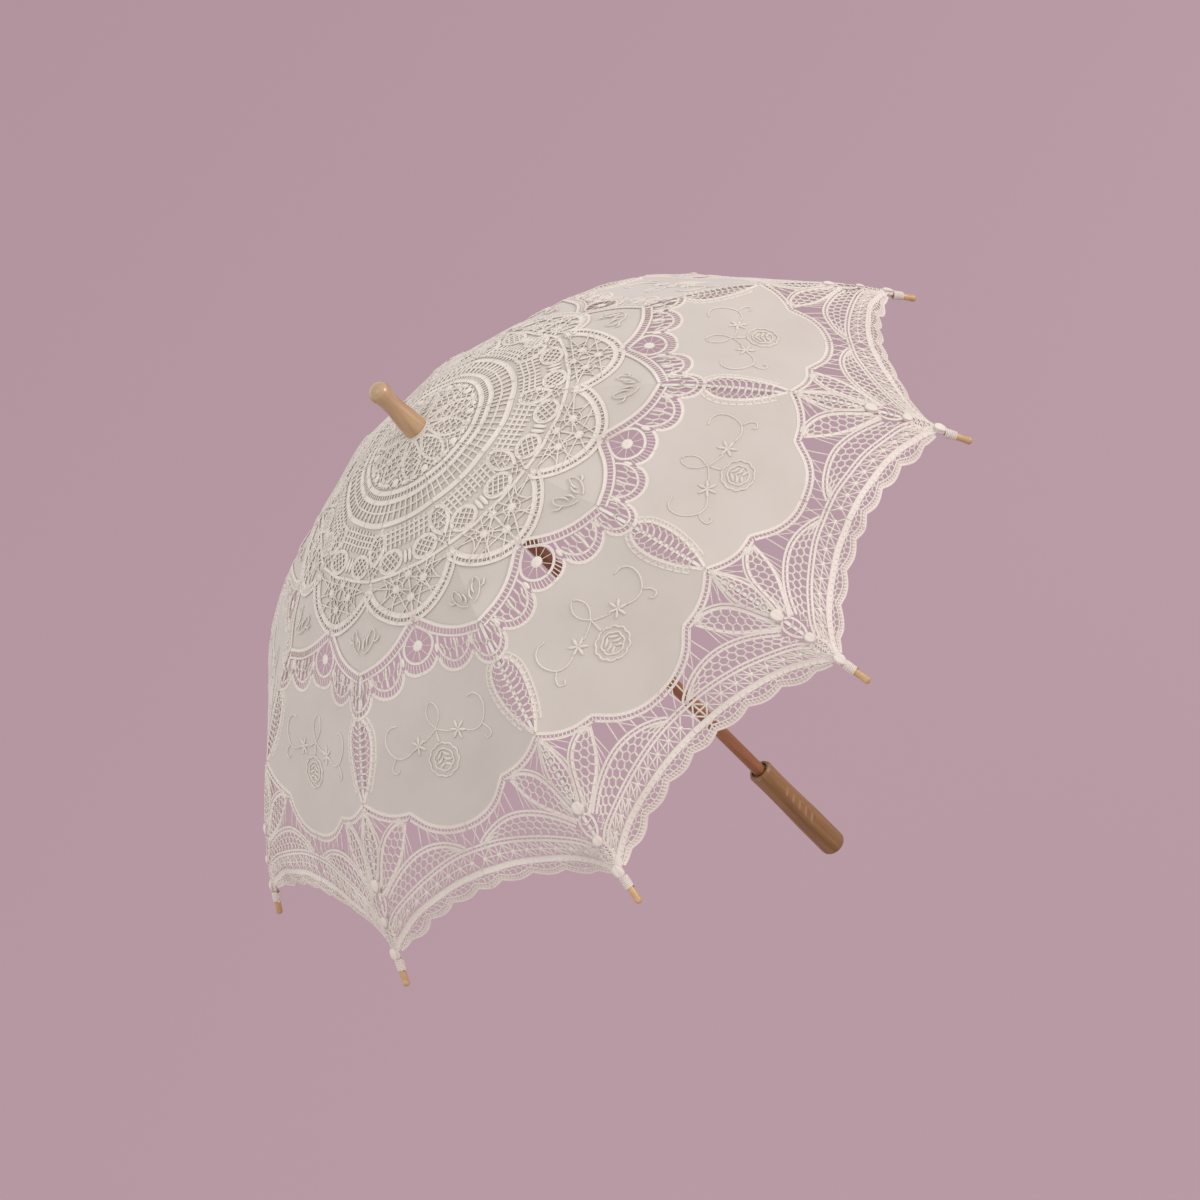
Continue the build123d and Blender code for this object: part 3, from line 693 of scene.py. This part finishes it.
def sector(kind, work, rib, material):
    """One kind of work in the two half gores that rib number rib carries, counted from 0."""
    flat, quads, smooth_faces = work.arrays()
    after = on_canopy(flat, rib, -1)
    before = on_canopy(flat, rib - 1, 1)
    points = np.vstack([after, before])
    faces = np.vstack([quads, quads[:, ::-1] + len(flat)])
    return mesh_object(f"{kind}_{rib + 1}", points, faces, np.tile(smooth_faces, 2), material)


# ---- materials ---------------------------------------------------------------------------------
def shader(name, color, roughness):
    """Material with its nodes, its links and its surface shader."""
    material = bpy.data.materials.new(name)
    material.use_nodes = True
    nodes = material.node_tree.nodes
    surface = nodes["Principled BSDF"]
    surface.inputs["Base Color"].default_value = (*color, 1)
    surface.inputs["Roughness"].default_value = roughness
    return material, nodes, material.node_tree.links, surface


def mixed(nodes, links, factor, first, second):
    """Colour ramp between two colours, driven by a socket."""
    ramp = nodes.new("ShaderNodeValToRGB")
    ramp.color_ramp.elements[0].color = (*first, 1)
    ramp.color_ramp.elements[1].color = (*second, 1)
    links.new(factor, ramp.inputs[0])
    return ramp


def noise(nodes, links, scale, detail=3.0, stretch=(1, 1, 1)):
    place = nodes.new("ShaderNodeTexCoord")
    mapping = nodes.new("ShaderNodeMapping")
    mapping.inputs["Scale"].default_value = stretch
    links.new(place.outputs["Object"], mapping.inputs["Vector"])
    texture = nodes.new("ShaderNodeTexNoise")
    texture.inputs["Scale"].default_value = scale
    texture.inputs["Detail"].default_value = detail
    links.new(mapping.outputs["Vector"], texture.inputs["Vector"])
    return texture


def bump(nodes, links, surface, height, strength, distance):
    relief = nodes.new("ShaderNodeBump")
    relief.inputs["Strength"].default_value = strength
    relief.inputs["Distance"].default_value = distance
    links.new(height, relief.inputs["Height"])
    links.new(relief.outputs["Normal"], surface.inputs["Normal"])


def cotton(name, light, dark, weave, depth):
    """Matt cotton with uneven shade and a fine weave."""
    material, nodes, links, surface = shader(name, light, 0.88)
    surface.inputs["Sheen Weight"].default_value = 0.25
    surface.inputs["Sheen Roughness"].default_value = 0.6
    surface.inputs["Specular IOR Level"].default_value = 0.25
    patches = noise(nodes, links, 22, 4)
    ramp = mixed(nodes, links, patches.outputs["Fac"], dark, light)
    ramp.color_ramp.elements[0].position = 0.3
    ramp.color_ramp.elements[1].position = 0.62
    links.new(ramp.outputs["Color"], surface.inputs["Base Color"])
    fine = noise(nodes, links, weave, 2)
    bump(nodes, links, surface, fine.outputs["Fac"], 0.6, depth)
    return material


def wood(name, light, dark, roughness, coat, grain=55):
    """Varnished wood with the grain along Z."""
    material, nodes, links, surface = shader(name, light, roughness)
    surface.inputs["Coat Weight"].default_value = coat
    surface.inputs["Coat Roughness"].default_value = 0.12
    streaks = noise(nodes, links, grain, 6, (3.2, 3.2, 0.22))
    ramp = mixed(nodes, links, streaks.outputs["Fac"], dark, light)
    ramp.color_ramp.elements[0].position = 0.34
    ramp.color_ramp.elements[1].position = 0.66
    links.new(ramp.outputs["Color"], surface.inputs["Base Color"])
    bump(nodes, links, surface, streaks.outputs["Fac"], 0.25, 0.0004)
    return material, nodes, links, surface, ramp


def carved(nodes, links, surface, ramp, radius, low, high, color):
    """Lighter wood where the handle is cut below this radius, between two heights."""
    place = nodes.new("ShaderNodeTexCoord")
    split = nodes.new("ShaderNodeSeparateXYZ")
    links.new(place.outputs["Object"], split.inputs["Vector"])
    flat = nodes.new("ShaderNodeVectorMath")
    flat.operation = "MULTIPLY"
    flat.inputs[1].default_value = (1, 1, 0)
    links.new(place.outputs["Object"], flat.inputs[0])
    size = nodes.new("ShaderNodeVectorMath")
    size.operation = "LENGTH"
    links.new(flat.outputs["Vector"], size.inputs[0])
    tests = []
    for source, operation, limit in (
        (size.outputs["Value"], "LESS_THAN", radius),
        (split.outputs["Z"], "GREATER_THAN", low),
        (split.outputs["Z"], "LESS_THAN", high),
    ):
        test = nodes.new("ShaderNodeMath")
        test.operation = operation
        test.inputs[1].default_value = limit
        links.new(source, test.inputs[0])
        tests.append(test)
    both = nodes.new("ShaderNodeMath")
    both.operation = "MINIMUM"
    links.new(tests[0].outputs[0], both.inputs[0])
    links.new(tests[1].outputs[0], both.inputs[1])
    all_three = nodes.new("ShaderNodeMath")
    all_three.operation = "MINIMUM"
    links.new(both.outputs[0], all_three.inputs[0])
    links.new(tests[2].outputs[0], all_three.inputs[1])
    mix = nodes.new("ShaderNodeMix")
    mix.data_type = "RGBA"
    mix.inputs["B"].default_value = (*color, 1)
    links.new(all_three.outputs[0], mix.inputs["Factor"])
    links.new(ramp.outputs["Color"], mix.inputs["A"])
    links.new(mix.outputs["Result"], surface.inputs["Base Color"])


def metal(name, color, roughness, metallic=1.0):
    """Drawn metal, or enamel on it, with fine scratches along Z."""
    material, nodes, links, surface = shader(name, color, roughness)
    surface.inputs["Metallic"].default_value = metallic
    scratches = noise(nodes, links, 180, 3, (1, 1, 0.1))
    dull = (min(1, roughness * 1.3),) * 3
    ramp = mixed(nodes, links, scratches.outputs["Fac"], (roughness * 0.8,) * 3, dull)
    links.new(ramp.outputs["Color"], surface.inputs["Roughness"])
    bump(nodes, links, surface, scratches.outputs["Fac"], 0.15, 0.0001)
    return material


def repaint(names, material):
    """Gives CAD nodes one material."""
    for name in names:
        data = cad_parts[name].data
        data.materials.clear()
        data.materials.append(material)


def finishes():
    """Every CAD node that stays in sight gets its own finish."""
    numbered = [n + 1 for n in range(RIBS)]
    repaint(["shaft"], wood("shaft_wood", (0.36, 0.155, 0.06), (0.23, 0.085, 0.032), 0.42, 0.15)[0])
    made = wood("handle_wood", (0.31, 0.165, 0.06), (0.19, 0.092, 0.03), 0.45, 0.12)
    handle, nodes, links, surface, ramp = made
    carved(nodes, links, surface, ramp, 0.0109, 0.012, 0.072, (0.37, 0.2, 0.11))
    repaint(["handle"], handle)
    repaint(["ferrule"], wood("ferrule_wood", (0.50, 0.325, 0.18), (0.41, 0.25, 0.13), 0.26, 0.6)[0])
    tip_wood = wood("tip_wood", (0.60, 0.40, 0.20), (0.47, 0.29, 0.13), 0.4, 0.2)[0]
    repaint([f"rib_tip_{n}" for n in numbered], tip_wood)
    enamel = metal("rib_enamel", (0.74, 0.70, 0.66), 0.35, 0.0)
    repaint([f"rib_{n}" for n in numbered] + [f"stretcher_{n}" for n in numbered], enamel)
    repaint(["crown", "runner"], metal("nickel", (0.62, 0.60, 0.57), 0.3))
    repaint(["crown_wire", "runner_wire", "crown_pin", "stop_pin"], metal("wire", (0.5, 0.49, 0.47), 0.35))
    repaint(["top_spring", "bottom_spring"], metal("spring_steel", (0.36, 0.37, 0.40), 0.28))
    repaint(["canopy_centre"], cotton("centre_cloth", (0.72, 0.66, 0.60), (0.62, 0.56, 0.51), 900, 0.0002))


# ---- the canopy ---------------------------------------------------------------------------------
def sheet_area(work):
    """Flat area of one sheet: the upper faces of its two half gores, or both faces of one."""
    flat, quads, _ = work.arrays()
    a, b, c, d = (flat[quads[:, n], :2] for n in range(4))
    u, v = c - a, d - b
    return float(np.abs(u[:, 0] * v[:, 1] - u[:, 1] * v[:, 0]).sum() / 2) * 1e-6


def canopy():
    """Five pieces of lace and cloth for each rib, which carries half of the gore on either side."""
    kinds = half_gore()
    lace = cotton("lace_cotton", (0.78, 0.71, 0.65), (0.70, 0.63, 0.57), 1400, 0.0004)
    plain = cotton("plain_cotton", (0.58, 0.525, 0.48), (0.55, 0.495, 0.45), 2200, 0.00012)
    silk = cotton("embroidery_cotton", (0.76, 0.70, 0.635), (0.70, 0.64, 0.58), 1600, 0.0003)
    under = cotton("lining_cotton", (0.60, 0.545, 0.49), (0.56, 0.505, 0.45), 2200, 0.00012)
    materials = {"tapes": lace, "threads": lace, "lining": under, "cloth": plain, "stitches": silk}
    areas = {kind: sheet_area(kinds[kind]) for kind in ("lining", "cloth")}
    for rib in range(RIBS):
        body = f"rib_{rib + 1}"
        made = {kind: sector(kind, work, rib, materials[kind]) for kind, work in kinds.items()}
        for piece in made.values():
            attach(piece, body)
            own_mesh(piece)
        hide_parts(f"canopy_gore_{rib + 1}")


def tip_ties():
    """Thread wound round the neck of each wooden tip, which holds the lace corner."""
    low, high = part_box("rib_tip_1")
    run, drop = high[0] - low[0], high[2] - low[2]
    slope = math.atan2(drop, run)
    axis = np.array([math.cos(slope), 0, -math.sin(slope)])
    neck = np.array([low[0] + 0.0012, 0, high[2] - 0.0012])
    start = neck + 0.0025 * axis
    side = np.array([0, 1.0, 0])
    other = np.cross(axis, side)
    turns = np.linspace(0, 2 * math.pi * 7, 160)
    radius = np.interp(turns, [0, turns[-1] * 0.6, turns[-1]], [0.0033, 0.0031, 0.0029])[:, None]
    centre = start + np.outer(np.linspace(0, 0.0095, 160), axis)
    line = centre + radius * (np.outer(np.cos(turns), side) + np.outer(np.sin(turns), other))
    material = cotton("tie_cotton", (0.76, 0.69, 0.62), (0.66, 0.59, 0.53), 1400, 0.0004)
    for rib in range(RIBS):
        curve = bpy.data.curves.new(f"tip_tie_{rib + 1}", "CURVE")
        curve.dimensions = "3D"
        curve.bevel_depth = 0.0007
        curve.bevel_resolution = 2
        spline = curve.splines.new("POLY")
        spline.points.add(len(line) - 1)
        turn = Matrix.Rotation(rib * STEP, 3, "Z")
        for point, place in zip(spline.points, line):
            point.co = (*(turn @ Vector(place)), 1)
        curve.materials.append(material)
        piece = bpy.data.objects.new(f"tip_tie_{rib + 1}", curve)
        bpy.context.scene.collection.objects.link(piece)
        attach(piece, f"rib_{rib + 1}")


# ---- floor, light and camera ------------------------------------------------------------------
AZIMUTH = math.radians(-87.98)
ELEVATION = math.radians(29.67)
ROLL = math.radians(45.03)
DISTANCE = 2.198
FOCAL = 76.98
AIM = Vector((0, 0, 0.345))
AIM_SHIFT = (0.0098, 0.0002)
FLOOR_DROP = 1.1  # below the lowest point of the parasol


def view_axes():
    """Right, up and backward directions of the camera."""
    level_back = (math.cos(AZIMUTH), math.sin(AZIMUTH))
    back = Vector((*(math.cos(ELEVATION) * part for part in level_back), math.sin(ELEVATION)))
    level = Vector((-math.sin(AZIMUTH), math.cos(AZIMUTH), 0))
    up = back.cross(level)
    right = math.cos(ROLL) * level - math.sin(ROLL) * up
    upward = math.sin(ROLL) * level + math.cos(ROLL) * up
    return right, upward, back


def camera():
    """Camera in the photo's view, rolled so that the shaft runs aslant."""
    right, upward, back = view_axes()
    data = bpy.data.cameras.new("camera")
    data.sensor_width = 36
    data.lens = FOCAL
    data.clip_end = 60
    seat = bpy.data.objects.new("camera", data)
    bpy.context.scene.collection.objects.link(seat)
    place = AIM + back * DISTANCE + right * AIM_SHIFT[0] + upward * AIM_SHIFT[1]
    axes = Matrix((right, upward, back)).transposed().to_4x4()
    seat.matrix_world = Matrix.Translation(place) @ axes
    bpy.context.scene.camera = seat


def area_light(name, towards, distance, size, power, color):
    """Round soft light that faces the parasol."""
    data = bpy.data.lights.new(name, "AREA")
    data.shape = "DISK"
    data.size = size
    data.energy = power
    data.color = color
    lamp = bpy.data.objects.new(name, data)
    bpy.context.scene.collection.objects.link(lamp)
    middle = Vector((0, 0, 0.45))
    way = Vector(towards).normalized()
    lamp.location = middle + way * distance
    lamp.rotation_euler = way.to_track_quat("Z", "Y").to_euler()


def studio():
    """Plain pale floor far below, even light all round, a key light and a weak fill."""
    bpy.ops.mesh.primitive_plane_add(size=60, location=(0, 0, cad_box[0][2] - FLOOR_DROP))
    floor = bpy.context.object
    floor.name = "floor"
    material, nodes, links, surface = shader("floor_paint", (0.49, 0.337, 0.392), 1.0)
    surface.inputs["Specular IOR Level"].default_value = 0.0
    floor.data.materials.append(material)
    world = bpy.data.worlds.new("soft_light")
    world.use_nodes = True
    world.node_tree.nodes["Background"].inputs[0].default_value = (1.0, 0.98, 0.97, 1)
    world.node_tree.nodes["Background"].inputs[1].default_value = 0.88
    bpy.context.scene.world = world
    right, upward, back = view_axes()
    area_light("key", right * 1.0 + upward * 0.75 + back * 0.7, 7.0, 3.6, 190, (1, 0.97, 0.94))
    area_light("fill", back * 1.0 - right * 0.6 + upward * 0.3, 6.0, 4.0, 30, (0.96, 0.97, 1))


canopy()
tip_ties()
finishes()
studio()
camera()
bpy.context.scene.view_settings.view_transform = "Standard"
